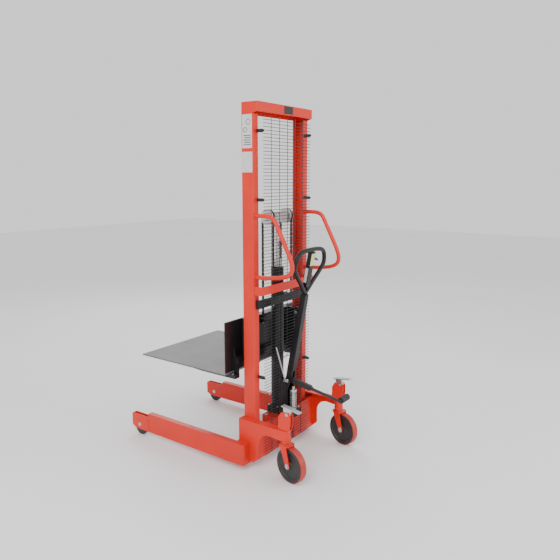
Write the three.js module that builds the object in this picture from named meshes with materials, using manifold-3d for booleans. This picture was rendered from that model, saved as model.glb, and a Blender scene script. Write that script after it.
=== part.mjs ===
// Walkie stacker with a lifting platform. Millimetres, +Z up, +Y towards the load end, +X to the operator's right.
import * as THREE from 'three';
import { mergeVertices } from 'three/addons/utils/BufferGeometryUtils.js';
import Module from 'manifold-3d';

const wasm = await Module();
wasm.setup();

// ---------- driving dimensions ----------
// Y = 0 is the rear face of the uprights while the machine is drawn; ROW_SHIFT centres it at the end.
const GAP = 0.3;                    // clearance between pieces that are welded or bolted together
const ROW_SHIFT = -258;
const MAST_HEIGHT = 2050;
const MAST_HALF = 268;              // half width over the uprights
const UPRIGHT_DEPTH = 78;
const UPRIGHT_FLANGE = 47;
const UPRIGHT_WALL = 8;
const FRAME_BOTTOM = 45;
const BEAM_BOTTOM = 1989;
const BEAM_REAR = -30;
const BEAM_WALL = 6;

const HANDLE_X = 245;
const HANDLE_RADIUS = 12;
const BRACE_LOW = 1010;
const BRACE_HIGH = 1060;
const BRACE_REAR = -52;
const BRACE_BAR = 6;

const LEG_INNER = 342;
const LEG_OUTER = 378;
const LEG_BOTTOM = 38;
const LEG_TOP = 163;
const LEG_FRONT = 782;
const LEG_FOOT = 75;
const LEG_WALL = 5;
const NOSE_FRONT = 937;
const NOSE_TOP = 138;
const FRONT_ROLLER_Y = 866;
const FRONT_ROLLER_RADIUS = 50;
const FRONT_ROLLER_HALF = 10;

const SIDE_OUTER = 316;
const SIDE_PLATE = 8;
const SIDE_FRONT = 80;
const ARM_TOP = 288;
const STEM_X = 290;
const STEM_Y = -234;
const STEM_RADIUS = 26;
const STEM_BORE = 16;
const STEM_BOTTOM = 214;
const REAR_PLATE_BACK = -28;
const REAR_PLATE_FRONT = -20;
const PEDESTAL_TOP = 241;

const CASTER_RADIUS = 100;
const CASTER_WIDTH = 44;
const CASTER_TRAIL = 44;
const CASTER_TURN = -12 * Math.PI / 180;
const CROWN_BOTTOM = 203.5;
const CROWN_TOP = 211.5;
const KINGPIN_TOP = 276;
const KINGPIN_RADIUS = 15.5;
const BRAKE_ROD_RADIUS = 5;

const CYLINDER_Y = 33;
const BARREL_RADIUS = 37.5;
const BARREL_BOTTOM = 283.3;
const BARREL_TOP = 1139;
const GLAND_TOP = 1184;
const RAM_RADIUS = 16;
const RAM_BORE = 16.5;
const RAM_BOTTOM = 500;
const CROSSHEAD_BOTTOM = 1400;
const CROSSHEAD_TOP = 1460;
const CROSSHEAD_HALF = 78;

const SHEAVE_X = 90;
const SHEAVE_Y = 34.5;
const SHEAVE_Z = 1433;
const SHEAVE_RADIUS = 45;
const CHAIN_PITCH_RADIUS = 37.4;
const CHAIN_THICK = 8;
const CHAIN_WIDTH = 15;
const REAR_ANCHOR_TOP = 955;
const FRONT_ANCHOR_TOP = 835;

const PLATFORM_HALF = 360;
const PLATFORM_TOP = 549;
const PLATFORM_THICK = 8;
const PLATFORM_FRONT = 833;
const BACK_PLATE_REAR = 134;
const BACK_PLATE_FRONT = 142;
const BACK_PLATE_BOTTOM = 555;
const BACK_PLATE_TOP = 853;
const FORK_TOP = 540.7;
const FORK_FRONT = 650;
const CARRIAGE_SIDE_INNER = 200;
const CARRIAGE_SIDE_OUTER = 212;
const CARRIAGE_ROLLER_RADIUS = 30.5;
const CARRIAGE_ROLLER_Y = 39;
const CARRIAGE_ROLLER_LOW = 630;
const CARRIAGE_ROLLER_HIGH = 820;

const MESH_Y = -41;
const MESH_HALF = 232;
const MESH_BAR = 4;
const MESH_BOTTOM = 56;
const MESH_TOP = 1978;
const MESH_ROW_COUNT = 13;
const CLIP_HEIGHTS = [530, 1535, 1900];
const CLIP_HALF = 9;
const MESH_COLUMNS = [-230, -154, -77, 77, 154, 230];
const CUTOUT_HALF = 62;
const CUTOUT_BOTTOM = 236;
const CUTOUT_TOP = 600;

const PIVOT_Y = -62;
const PIVOT_Z = 462;
const PIVOT_RADIUS = 8;
const PIVOT_BORE = 8.3;
const PUMP_BASE = 241.3;
const PUMP_TOP = 283.7;
const TILLER_TILT = 10.6 * Math.PI / 180;
const PLUNGER_Y = -83;
const LOWERING_X = -47;
const LOWERING_Y = -56;
const LOWERING_Z = 465;
const FOOT_PAD_Y = -405;
const FOOT_PAD_Z = 400;

const BRAKE_HALF = 16;
const PEDAL_PIVOT_Y = -250;
const PEDAL_PIVOT_Z = 385;
const PEDAL_PRESSED = -18 * Math.PI / 180;
const BRAKE_ROD_TRAVEL = 5;

const ROUND_SEGMENTS = 28;

// ---------- finishes: colour, roughness, metalness ----------
const RED = [0xd8301c, 0.35, 0.1];
const BLACK_PAINT = [0x17171a, 0.4, 0.1];
const GREY_DECK = [0x83827f, 0.7, 0.0];
const CHROME = [0xd8dade, 0.12, 1.0];
const ZINC = [0xb9bbb8, 0.4, 0.9];
const CHAIN_STEEL = [0x2b2a29, 0.5, 0.8];
const WIRE = [0x8f9194, 0.4, 0.8];
const BLACK_PLASTIC = [0x151517, 0.5, 0.0];

// ---------- geometry helpers ----------
function clean(geometry) {
  const bare = geometry.clone();
  for (const name of Object.keys(bare.attributes)) {
    if (name !== 'position') bare.deleteAttribute(name);
  }
  return mergeVertices(bare, 1e-4);
}

function toManifold(geometry) {
  const welded = clean(geometry);
  return new wasm.Manifold(new wasm.Mesh({
    numProp: 3,
    vertProperties: new Float32Array(welded.attributes.position.array),
    triVerts: new Uint32Array(welded.index.array),
  }));
}

function fromManifold(solid) {
  const mesh = solid.getMesh();
  const geometry = new THREE.BufferGeometry();
  geometry.setAttribute('position', new THREE.BufferAttribute(new Float32Array(mesh.vertProperties), 3));
  geometry.setIndex(new THREE.BufferAttribute(new Uint32Array(mesh.triVerts), 1));
  return geometry;
}

function unite(...pieces) {
  return fromManifold(pieces.map(toManifold).reduce((sum, piece) => sum.add(piece)));
}

function cut(body, ...tools) {
  return fromManifold(tools.map(toManifold).reduce((left, tool) => left.subtract(tool), toManifold(body)));
}

function block(x0, x1, y0, y1, z0, z1) {
  const box = new THREE.BoxGeometry(x1 - x0, y1 - y0, z1 - z0);
  return box.translate((x0 + x1) / 2, (y0 + y1) / 2, (z0 + z1) / 2);
}

function outline(points) {
  return new THREE.Shape(points.map(([a, b]) => new THREE.Vector2(a, b)));
}

// Outline in the XY plane, swept up from z0 to z1.
function sweepZ(points, z0, z1) {
  const solid = new THREE.ExtrudeGeometry(outline(points), { depth: z1 - z0, bevelEnabled: false });
  return solid.translate(0, 0, z0);
}

// Outline in the YZ plane, swept along X from x0 to x1.
function sweepX(points, x0, x1) {
  const solid = new THREE.ExtrudeGeometry(outline(points), { depth: x1 - x0, bevelEnabled: false });
  const turn = new THREE.Matrix4().makeBasis(
    new THREE.Vector3(0, 1, 0), new THREE.Vector3(0, 0, 1), new THREE.Vector3(1, 0, 0));
  return solid.applyMatrix4(turn).translate(x0, 0, 0);
}

// Points of an arc, for outlines; angles in degrees.
function arc(centreA, centreB, radius, from, to, steps) {
  return Array.from({ length: steps + 1 }, (_, step) => {
    const angle = (from + (to - from) * step / steps) * Math.PI / 180;
    return [centreA + radius * Math.cos(angle), centreB + radius * Math.sin(angle)];
  });
}

// A turned solid: profile is a list of [radius, height] that closes on itself or on the axis.
function turned(profile, segments = ROUND_SEGMENTS) {
  return new THREE.LatheGeometry(profile.map(([r, h]) => new THREE.Vector2(r, h)), segments);
}

function alongX(geometry) {
  return geometry.rotateZ(-Math.PI / 2);
}

function alongZ(geometry) {
  return geometry.rotateX(Math.PI / 2);
}

function barX(radius, x0, x1, y, z, segments = ROUND_SEGMENTS) {
  return alongX(new THREE.CylinderGeometry(radius, radius, x1 - x0, segments)).translate((x0 + x1) / 2, y, z);
}

function barZ(radius, x, y, z0, z1, segments = ROUND_SEGMENTS) {
  return alongZ(new THREE.CylinderGeometry(radius, radius, z1 - z0, segments)).translate(x, y, (z0 + z1) / 2);
}

function barY(radius, x, z, y0, y1) {
  return new THREE.CylinderGeometry(radius, radius, y1 - y0, 16).translate(x, (y0 + y1) / 2, z);
}

// A round rod between two points.
function rodBetween(start, end, radius, segments = 12) {
  const from = new THREE.Vector3(...start);
  const to = new THREE.Vector3(...end);
  const rod = new THREE.CylinderGeometry(radius, radius, from.distanceTo(to), segments);
  const turn = new THREE.Quaternion().setFromUnitVectors(
    new THREE.Vector3(0, 1, 0), to.clone().sub(from).normalize());
  return rod.applyQuaternion(turn).translate(...from.clone().add(to).multiplyScalar(0.5).toArray());
}

// A round tube along a smooth path.
function tubeAlong(points, radius, steps) {
  const path = new THREE.CatmullRomCurve3(points.map((point) => new THREE.Vector3(...point)), false, 'centripetal');
  const circle = new THREE.Shape(arc(0, 0, radius, 0, 330, 11).map(([a, b]) => new THREE.Vector2(a, b)));
  return new THREE.ExtrudeGeometry(circle, { steps, extrudePath: path, bevelEnabled: false });
}

// Mirror a solid to the other side of the machine and turn its faces outward again.
function mirrored(geometry) {
  const copy = clean(geometry).applyMatrix4(new THREE.Matrix4().makeScale(-1, 1, 1));
  const index = copy.index.array;
  for (let i = 0; i < index.length; i += 3) {
    [index[i], index[i + 1]] = [index[i + 1], index[i]];
  }
  return copy;
}

const stacker = new THREE.Group();
stacker.name = 'walkie_stacker';

function piece(name, geometry, [colour, roughness, metalness]) {
  const shape = clean(geometry).toNonIndexed();
  shape.computeVertexNormals();
  const mesh = new THREE.Mesh(shape, new THREE.MeshStandardMaterial({ color: colour, roughness, metalness }));
  mesh.name = name;
  stacker.add(mesh);
}

function pair(stem, right, finish) {
  piece(`${stem}_right`, right, finish);
  piece(`${stem}_left`, mirrored(right), finish);
}

// ---------- mast ----------
// Each upright is a channel welded from three plates, open towards the middle for the load rollers.
const WEB_INNER = MAST_HALF - UPRIGHT_WALL;
const LIP = MAST_HALF - UPRIGHT_FLANGE;
const UPRIGHT_TOP = BEAM_BOTTOM - GAP;

function rearFlange() {
  const flange = block(LIP, WEB_INNER - GAP, 0, UPRIGHT_WALL, FRAME_BOTTOM, UPRIGHT_TOP);
  const clips = CLIP_HEIGHTS.map((z) => block(
    MESH_HALF - 6, MESH_HALF + 4, MESH_Y + MESH_BAR / 2 + GAP, 1, z - CLIP_HALF, z + CLIP_HALF));
  return unite(flange, ...clips);
}
pair('upright_web', block(WEB_INNER, MAST_HALF, 0, UPRIGHT_DEPTH, FRAME_BOTTOM, UPRIGHT_TOP), RED);
pair('upright_front', block(
  LIP, WEB_INNER - GAP, UPRIGHT_DEPTH - UPRIGHT_WALL, UPRIGHT_DEPTH, FRAME_BOTTOM, UPRIGHT_TOP), RED);
pair('upright_rear', rearFlange(), RED);

function topBeam() {
  const front = UPRIGHT_DEPTH - 1;
  const shell = sweepX([
    [front, BEAM_BOTTOM], [front, MAST_HEIGHT], [BEAM_REAR, MAST_HEIGHT], [BEAM_REAR, BEAM_BOTTOM + 9],
    [0, BEAM_BOTTOM],
  ], -MAST_HALF, MAST_HALF);
  const inside = block(
    BEAM_WALL - MAST_HALF, MAST_HALF - BEAM_WALL, BEAM_REAR + BEAM_WALL, front - BEAM_WALL,
    BEAM_BOTTOM - BEAM_WALL, MAST_HEIGHT - BEAM_WALL);
  return cut(shell, inside);
}
piece('top_beam', topBeam(), RED);

// Grab handle: a bent tube standing out behind each upright.
function grabHandle() {
  const path = [
    [HANDLE_X, -2, 1450], [HANDLE_X, -50, 1450], [HANDLE_X, -95, 1446], [HANDLE_X, -118, 1434],
    [HANDLE_X, -135, 1411], [HANDLE_X, -187, 1313], [HANDLE_X, -226, 1236], [HANDLE_X, -240, 1200],
    [HANDLE_X, -240, 1165], [HANDLE_X, -214, 1138], [HANDLE_X, -161, 1122], [HANDLE_X, -80, 1112],
    [HANDLE_X, -2, 1110],
  ];
  const tube = tubeAlong(path, HANDLE_RADIUS, 30);
  return cut(tube, block(HANDLE_X - 30, HANDLE_X + 30, -GAP, 20, 1000, 1500));
}
pair('grab_handle', grabHandle(), RED);

// Flat bar bent into a shallow U across the back of the mast, over the wire guard.
function midBrace() {
  const outer = MAST_HALF - 6;
  return sweepZ([
    [outer, -GAP], [outer - BRACE_BAR, -GAP], [outer - BRACE_BAR, BRACE_REAR + BRACE_BAR],
    [BRACE_BAR - outer, BRACE_REAR + BRACE_BAR], [BRACE_BAR - outer, -GAP], [-outer, -GAP],
    [-outer, BRACE_REAR + 4], [4 - outer, BRACE_REAR], [outer - 4, BRACE_REAR], [outer, BRACE_REAR + 4],
  ], BRACE_LOW, BRACE_HIGH);
}
piece('mid_brace', midBrace(), RED);

// Cross bar behind the cylinder that clamps it and holds the fixed chain ends.
function anchorBar() {
  const low = 930;
  const high = 980;
  const bar = block(-250, 250, -19, -8.5, low, high);
  const tabs = [-1, 1].map((side) => block(side * 242 - 8, side * 242 + 8, -9, -GAP, low, high));
  const lugs = [-1, 1].map((side) => block(
    side * SHEAVE_X - 10, side * SHEAVE_X + 10, -9, 6, low, REAR_ANCHOR_TOP));
  const saddle = block(-46, 46, -9, CYLINDER_Y, low, high);
  const pipe = barZ(BARREL_RADIUS + GAP, 0, CYLINDER_Y, low - 5, high + 5);
  return cut(unite(bar, ...tabs, ...lugs, saddle), pipe);
}
piece('anchor_bar', anchorBar(), BLACK_PAINT);

// Welded wire guard behind the mast: one flat panel on the clips of the rear flanges.
function wireGuard() {
  const low = MESH_Y - MESH_BAR / 2;
  const high = MESH_Y + MESH_BAR / 2;
  const pitch = (MESH_TOP - MESH_BAR - MESH_BOTTOM) / (MESH_ROW_COUNT - 1);
  const rowHeights = Array.from({ length: MESH_ROW_COUNT }, (_, row) => MESH_BOTTOM + pitch * row);
  const rows = rowHeights.map((z) => block(-MESH_HALF, MESH_HALF, low, high, z, z + MESH_BAR));
  const columns = MESH_COLUMNS.map((x) => block(
    x - MESH_BAR / 2, x + MESH_BAR / 2, low, high, MESH_BOTTOM, MESH_TOP));
  const spine = block(-MESH_BAR / 2, MESH_BAR / 2, low, high, CUTOUT_TOP, MESH_TOP);
  const opening = block(-CUTOUT_HALF, CUTOUT_HALF, low - 5, high + 5, CUTOUT_BOTTOM, CUTOUT_TOP);
  const edge = CUTOUT_HALF + MESH_BAR;
  const frame = cut(block(-edge, edge, low, high, CUTOUT_BOTTOM - MESH_BAR, CUTOUT_TOP + MESH_BAR), opening);
  return unite(cut(unite(...rows, ...columns), opening), spine, frame);
}
piece('wire_guard', wireGuard(), WIRE);

// ---------- base ----------
function baseCross() {
  const half = SIDE_OUTER - SIDE_PLATE - GAP;
  const plate = [
    [-half, FRAME_BOTTOM], [half, FRAME_BOTTOM], [half, 256], [240, 256], [150, PEDESTAL_TOP],
    [-150, PEDESTAL_TOP], [-240, 256], [-half, 256],
  ];
  const rear = new THREE.ExtrudeGeometry(outline(plate), {
    depth: REAR_PLATE_FRONT - REAR_PLATE_BACK, bevelEnabled: false,
  });
  rear.rotateX(Math.PI / 2).translate(0, REAR_PLATE_FRONT, 0);
  const pedestal = block(-100, 100, REAR_PLATE_FRONT - 1, 75, FRAME_BOTTOM, PEDESTAL_TOP);
  const hollow = block(-92, 92, REAR_PLATE_FRONT, 67, FRAME_BOTTOM - 5, PEDESTAL_TOP - 8);
  const rails = [-1, 1].map((side) => block(
    side * 244 - 23, side * 244 + 23, REAR_PLATE_FRONT - 1, -GAP, FRAME_BOTTOM, 120));
  return unite(rear, cut(pedestal, hollow), ...rails);
}
piece('base_cross', baseCross(), RED);

// Side plate with its wheel arch, the arm's top plate and the swivel tube, welded together.
function baseSide() {
  const profile = [
    [SIDE_FRONT, FRAME_BOTTOM], [SIDE_FRONT, ARM_TOP], [STEM_Y, ARM_TOP], [STEM_Y, 230], [-180, 230],
    ...arc(-135, 160, 75, 92, 0, 8), [-60, 76], [-25, FRAME_BOTTOM],
  ];
  const plate = sweepX(profile, SIDE_OUTER - SIDE_PLATE, SIDE_OUTER);
  const top = block(MAST_HALF + GAP, SIDE_OUTER - 4, STEM_Y, SIDE_FRONT, ARM_TOP - 8, ARM_TOP);
  const nose = block(MAST_HALF + GAP, SIDE_OUTER - 4, SIDE_FRONT - 8, SIDE_FRONT, FRAME_BOTTOM, ARM_TOP);
  const stem = barZ(STEM_RADIUS, STEM_X, STEM_Y, STEM_BOTTOM, ARM_TOP);
  const bore = barZ(STEM_BORE, STEM_X, STEM_Y, STEM_BOTTOM - 5, ARM_TOP + 5, 24);
  return cut(unite(plate, top, nose, stem), bore);
}
pair('base_side', baseSide(), RED);

// Support leg: a tall box bar with a foot at its rear end that reaches in to the side plate.
function leg() {
  const round = 16;
  const plan = [
    [SIDE_OUTER + GAP, LEG_FOOT], [SIDE_OUTER + GAP, 0], ...arc(LEG_OUTER - round, round, round, -90, 0, 5),
    [LEG_OUTER, LEG_FRONT], [LEG_INNER, LEG_FRONT], [LEG_INNER, LEG_FOOT],
  ];
  const hollow = block(
    LEG_INNER + LEG_WALL, LEG_OUTER - LEG_WALL, LEG_FOOT, LEG_FRONT + 5,
    LEG_BOTTOM + LEG_WALL, LEG_TOP - LEG_WALL);
  return cut(sweepZ(plan, LEG_BOTTOM, LEG_TOP), hollow);
}
pair('leg', leg(), RED);

// Fork at the leg's tip that holds the load roller on its axle.
function rollerFork() {
  const rear = LEG_FRONT + GAP;
  const cheek = 7;
  const profile = [
    [rear, LEG_BOTTOM], [rear, NOSE_TOP], [NOSE_FRONT - 6, NOSE_TOP], [NOSE_FRONT, NOSE_TOP - 6],
    [NOSE_FRONT, 55], [905, LEG_BOTTOM],
  ];
  const slot = block(
    LEG_INNER + cheek, LEG_OUTER - cheek, rear + 10, NOSE_FRONT - 8, LEG_BOTTOM - 5, LEG_TOP);
  const axle = barX(8, LEG_INNER + 1, LEG_OUTER - 1, FRONT_ROLLER_Y, FRONT_ROLLER_RADIUS);
  return unite(cut(sweepX(profile, LEG_INNER, LEG_OUTER), slot), axle);
}
pair('roller_fork', rollerFork(), RED);

function frontRoller() {
  const half = FRONT_ROLLER_HALF;
  const rim = FRONT_ROLLER_RADIUS;
  const profile = [
    [8.05, -half], [20, -half], [22, -half + 2], [40, -half + 2], [42, -half], [rim - 3, -half],
    [rim, -half + 3], [rim, half - 3], [rim - 3, half], [42, half], [40, half - 2], [22, half - 2],
    [20, half], [8.05, half], [8.05, -half],
  ];
  return alongX(turned(profile)).translate((LEG_INNER + LEG_OUTER) / 2, FRONT_ROLLER_Y, rim);
}
pair('front_roller', frontRoller(), BLACK_PLASTIC);

// ---------- rear swivel casters ----------
function placeCaster(geometry, side) {
  return geometry.rotateZ(CASTER_TURN).translate(side * STEM_X, STEM_Y, 0);
}

function casterFork() {
  const inner = 27.5;
  const outer = 33.5;
  const crown = sweepZ([
    [outer, -34], [outer, 20], [outer - 12, 32], [12 - outer, 32], [-outer, 20], [-outer, -34],
    [12 - outer, -44], [outer - 12, -44],
  ], CROWN_BOTTOM, CROWN_TOP);
  const cheek = [
    [18, CROWN_BOTTOM + 2], [-32, CROWN_BOTTOM + 2],
    ...arc(-CASTER_TRAIL, CASTER_RADIUS, 16, 175, 365, 8),
  ];
  const kingpin = barZ(KINGPIN_RADIUS, 0, 0, CROWN_TOP - 2, KINGPIN_TOP, 24);
  const axle = barX(8, -37, 37, -CASTER_TRAIL, CASTER_RADIUS, 36);
  const heads = [-1, 1].map((side) =>
    barX(11, side * 36 - 3, side * 36 + 3, -CASTER_TRAIL, CASTER_RADIUS, 6));
  const cheeks = [[inner, outer], [-outer, -inner]].map(([low, high]) => sweepX(cheek, low, high));
  const bore = barZ(BRAKE_ROD_RADIUS + 1, 0, 0, CROWN_BOTTOM - 5, KINGPIN_TOP + 5, 16);
  return cut(unite(crown, kingpin, axle, ...cheeks, ...heads), bore);
}

function casterWheel() {
  const half = CASTER_WIDTH / 2;
  const rim = CASTER_RADIUS;
  const profile = [
    [8.05, -half], [22, -half], [26, -half + 4], [74, -half + 4], [80, -half + 1], [rim - 6, -half + 1],
    [rim - 2, -half + 3], [rim, -half + 9], [rim, half - 9], [rim - 2, half - 3], [rim - 6, half - 1],
    [80, half - 1], [74, half - 4], [26, half - 4], [22, half], [8.05, half], [8.05, -half],
  ];
  return alongX(turned(profile, 36)).translate(0, -CASTER_TRAIL, rim);
}

for (const [name, side] of [['right', 1], ['left', -1]]) {
  piece(`caster_fork_${name}`, placeCaster(casterFork(), side), RED);
  piece(`caster_wheel_${name}`, placeCaster(casterWheel(), side), BLACK_PLASTIC);
}

// ---------- foot brakes above the casters ----------
function brakeHousing() {
  const wall = 5;
  const low = ARM_TOP + GAP;
  const profile = [
    [-192, low], [-192, 360], [-212, 392], [-262, 392], [-272, 378], [-272, 330], [-262, low],
  ];
  const body = sweepX(profile, STEM_X - BRAKE_HALF, STEM_X + BRAKE_HALF);
  const inside = block(
    STEM_X - BRAKE_HALF + wall, STEM_X + BRAKE_HALF - wall, -300, -170, low + 6, 500);
  const bore = barZ(7, STEM_X, STEM_Y, low - 5, low + 15, 16);
  const pin = barX(5, STEM_X - BRAKE_HALF - 2, STEM_X + BRAKE_HALF + 2, PEDAL_PIVOT_Y, PEDAL_PIVOT_Z, 16);
  return unite(cut(body, inside, bore), pin);
}
pair('brake_housing', brakeHousing(), RED);

// The pedal rocks on its pin; a tilt below zero is the pressed, braking position.
function brakePedal(tilt) {
  const plate = sweepX([
    [-212, 429], [-327, 409], [-326, 404], [-211, 424],
  ], STEM_X - BRAKE_HALF, STEM_X + BRAKE_HALF);
  const lug = sweepX([
    [-262, 418], [-262, 378], [-254, 374], [-226, 374], [-222, 380], [-222, 425],
  ], STEM_X - 10, STEM_X + 10);
  const bore = barX(5.1, STEM_X - 30, STEM_X + 30, PEDAL_PIVOT_Y, PEDAL_PIVOT_Z, 16);
  const pedal = cut(unite(plate, lug), bore);
  pedal.translate(0, -PEDAL_PIVOT_Y, -PEDAL_PIVOT_Z).rotateX(tilt);
  return pedal.translate(0, PEDAL_PIVOT_Y, PEDAL_PIVOT_Z);
}
piece('brake_pedal_right', brakePedal(PEDAL_PRESSED), ZINC);
piece('brake_pedal_left', mirrored(brakePedal(0)), ZINC);

function brakeRod(drop) {
  const shaft = barZ(BRAKE_ROD_RADIUS, STEM_X, STEM_Y, 198 - drop, 368 - drop, 16);
  const collar = barZ(9.5, STEM_X, STEM_Y, 346 - drop, 352 - drop, 20);
  return unite(shaft, collar);
}
piece('brake_rod_right', brakeRod(BRAKE_ROD_TRAVEL), ZINC);
piece('brake_rod_left', mirrored(brakeRod(0)), ZINC);

// ---------- lift cylinder, ram and chains ----------
// Lift cylinder: a square foot, the barrel and the gland nut screwed into its top.
function liftCylinder() {
  const floor = BARREL_BOTTOM + 20;
  const foot = block(-50, 50, -8, 74, PUMP_BASE, BARREL_BOTTOM);
  const profile = [
    [0, BARREL_BOTTOM - 1], [BARREL_RADIUS, BARREL_BOTTOM - 1], [BARREL_RADIUS, BARREL_TOP],
    [24, BARREL_TOP], [26, BARREL_TOP + 2], [26, GLAND_TOP - 14], [23, GLAND_TOP - 11],
    [23, GLAND_TOP - 2], [21, GLAND_TOP], [RAM_BORE, GLAND_TOP], [RAM_BORE, floor], [0, floor],
  ];
  return unite(foot, alongZ(turned(profile)).translate(0, CYLINDER_Y, 0));
}
piece('cylinder_barrel', liftCylinder(), BLACK_PAINT);

piece('ram_rod', barZ(RAM_RADIUS, 0, CYLINDER_Y, RAM_BOTTOM, CROSSHEAD_BOTTOM - GAP), CHROME);

function crosshead() {
  const yoke = sweepX([
    [8, CROSSHEAD_BOTTOM], [58, CROSSHEAD_BOTTOM], [58, CROSSHEAD_TOP - 10], [48, CROSSHEAD_TOP],
    [18, CROSSHEAD_TOP], [8, CROSSHEAD_TOP - 10],
  ], -CROSSHEAD_HALF, CROSSHEAD_HALF);
  const pin = barX(10, -SHEAVE_X - 14, SHEAVE_X + 14, SHEAVE_Y, SHEAVE_Z, 32);
  const heads = [-1, 1].map((side) => barX(
    14, side * (SHEAVE_X + 14) - 3, side * (SHEAVE_X + 14) + 3, SHEAVE_Y, SHEAVE_Z, 20));
  return unite(yoke, pin, ...heads);
}
piece('crosshead', crosshead(), ZINC);

function sheave() {
  const half = 10.5;
  const groove = CHAIN_WIDTH / 2 + 0.5;
  const floor = CHAIN_PITCH_RADIUS - CHAIN_THICK / 2 - GAP;
  const profile = [
    [10.05, -half], [SHEAVE_RADIUS, -half], [SHEAVE_RADIUS, -half + 1.5], [floor, -groove], [floor, groove],
    [SHEAVE_RADIUS, half - 1.5], [SHEAVE_RADIUS, half], [10.05, half], [10.05, -half],
  ];
  return alongX(turned(profile, 32)).translate(SHEAVE_X, SHEAVE_Y, SHEAVE_Z);
}
pair('sheave', sheave(), ZINC);

const CHAIN_INNER = CHAIN_PITCH_RADIUS - CHAIN_THICK / 2;
const CHAIN_OUTER = CHAIN_PITCH_RADIUS + CHAIN_THICK / 2;

function chainWrap() {
  return sweepX([
    ...arc(SHEAVE_Y, SHEAVE_Z, CHAIN_OUTER, 0, 180, 14), ...arc(SHEAVE_Y, SHEAVE_Z, CHAIN_INNER, 180, 0, 14),
  ], SHEAVE_X - CHAIN_WIDTH / 2, SHEAVE_X + CHAIN_WIDTH / 2);
}
pair('chain_wrap', chainWrap(), CHAIN_STEEL);

function chainStrand(y, bottom) {
  return block(
    SHEAVE_X - CHAIN_WIDTH / 2, SHEAVE_X + CHAIN_WIDTH / 2, y - CHAIN_THICK / 2, y + CHAIN_THICK / 2,
    bottom + GAP, SHEAVE_Z - GAP);
}
pair('chain_rear', chainStrand(SHEAVE_Y - CHAIN_PITCH_RADIUS, REAR_ANCHOR_TOP), CHAIN_STEEL);
pair('chain_front', chainStrand(SHEAVE_Y + CHAIN_PITCH_RADIUS, FRONT_ANCHOR_TOP), CHAIN_STEEL);

// ---------- carriage and platform ----------
piece('back_plate', block(
  -PLATFORM_HALF, PLATFORM_HALF, BACK_PLATE_REAR + GAP, BACK_PLATE_FRONT,
  BACK_PLATE_BOTTOM, BACK_PLATE_TOP), BLACK_PAINT);

function carriageFrame() {
  const sides = [-1, 1].map((side) => {
    const middle = side * (CARRIAGE_SIDE_INNER + CARRIAGE_SIDE_OUTER) / 2;
    const half = (CARRIAGE_SIDE_OUTER - CARRIAGE_SIDE_INNER) / 2;
    return sweepX([
      [12, 605], [12, 845], [22, 853], [BACK_PLATE_REAR, 853], [BACK_PLATE_REAR, 600], [20, 600],
    ], middle - half, middle + half);
  });
  const bars = [[-290, 290, 600, 640], [-213, 213, 800, 853]].map(([left, right, low, high]) => block(
    left, right, 100, BACK_PLATE_REAR, low, high));
  const anchors = [-1, 1].map((side) => block(
    side * SHEAVE_X - 11, side * SHEAVE_X + 11, 62, 101, FRONT_ANCHOR_TOP - 22, FRONT_ANCHOR_TOP));
  const gussets = [-1, 1].map((side) => sweepX([
    [BACK_PLATE_REAR, 701], [BACK_PLATE_REAR, 530], [100, 530], [100, 560],
  ], side * 285 - 4, side * 285 + 4));
  const forks = [-1, 1].map((side) => sweepX([
    [100, FORK_TOP], [100, FORK_TOP - 22], [360, FORK_TOP - 22], [FORK_FRONT, FORK_TOP - 4],
    [FORK_FRONT, FORK_TOP],
  ], side * 300 - 20, side * 300 + 20));
  const pins = [-1, 1].flatMap((side) => [CARRIAGE_ROLLER_LOW, CARRIAGE_ROLLER_HIGH].map((z) => barX(
    9, side * 230.5 - 24, side * 230.5 + 24, CARRIAGE_ROLLER_Y, z, 24)));
  return unite(...sides, ...bars, ...anchors, ...gussets, ...forks, ...pins);
}
piece('carriage_frame', carriageFrame(), BLACK_PAINT);

function carriageRoller(z) {
  const rim = CARRIAGE_ROLLER_RADIUS;
  const bore = 9.3;
  const profile = [
    [bore, -13], [rim - 2, -13], [rim, -11], [rim, 11], [rim - 2, 13], [bore, 13], [bore, -13],
  ];
  return alongX(turned(profile, 24)).translate(240, CARRIAGE_ROLLER_Y, z);
}
pair('carriage_roller_low', carriageRoller(CARRIAGE_ROLLER_LOW), ZINC);
pair('carriage_roller_high', carriageRoller(CARRIAGE_ROLLER_HIGH), ZINC);

piece('platform', block(
  -PLATFORM_HALF, PLATFORM_HALF, BACK_PLATE_FRONT + GAP, PLATFORM_FRONT,
  PLATFORM_TOP - PLATFORM_THICK, PLATFORM_TOP), GREY_DECK);

// ---------- hand and foot pump ----------
function pumpBlock() {
  const body = block(-40, 40, -112, -9, PUMP_BASE, PUMP_TOP);
  return cut(body, barZ(13, 0, PLUNGER_Y, PUMP_BASE + 8, PUMP_TOP + 5, 24));
}
piece('pump_block', pumpBlock(), BLACK_PAINT);

// Cheeks that carry the pivot pin, with a small ear on the left for the lowering lever.
function pumpClevis() {
  const low = PUMP_TOP + GAP;
  const profile = [
    [-20, low], [-20, PIVOT_Z], ...arc(PIVOT_Y, PIVOT_Z, 18, 60, 200, 8), [-64, 400], [-64, low],
  ];
  const cheeks = [[-34, -26], [26, 34]].map(([left, right]) => sweepX(profile, left, right));
  const web = block(-30, 30, -28, -20, low, 440);
  const ear = block(LOWERING_X - 11, -30, -36, -30, LOWERING_Z - 11, LOWERING_Z + 11);
  const boss = barY(4, LOWERING_X, LOWERING_Z, -66, -33);
  const bore = barX(PIVOT_RADIUS + 0.2, -50, 50, PIVOT_Y, PIVOT_Z, 20);
  return cut(unite(...cheeks, web, ear, boss), bore);
}
piece('pump_clevis', pumpClevis(), BLACK_PAINT);
piece('pivot_pin', barX(PIVOT_RADIUS, -36, 36, PIVOT_Y, PIVOT_Z, 20), ZINC);

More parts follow.
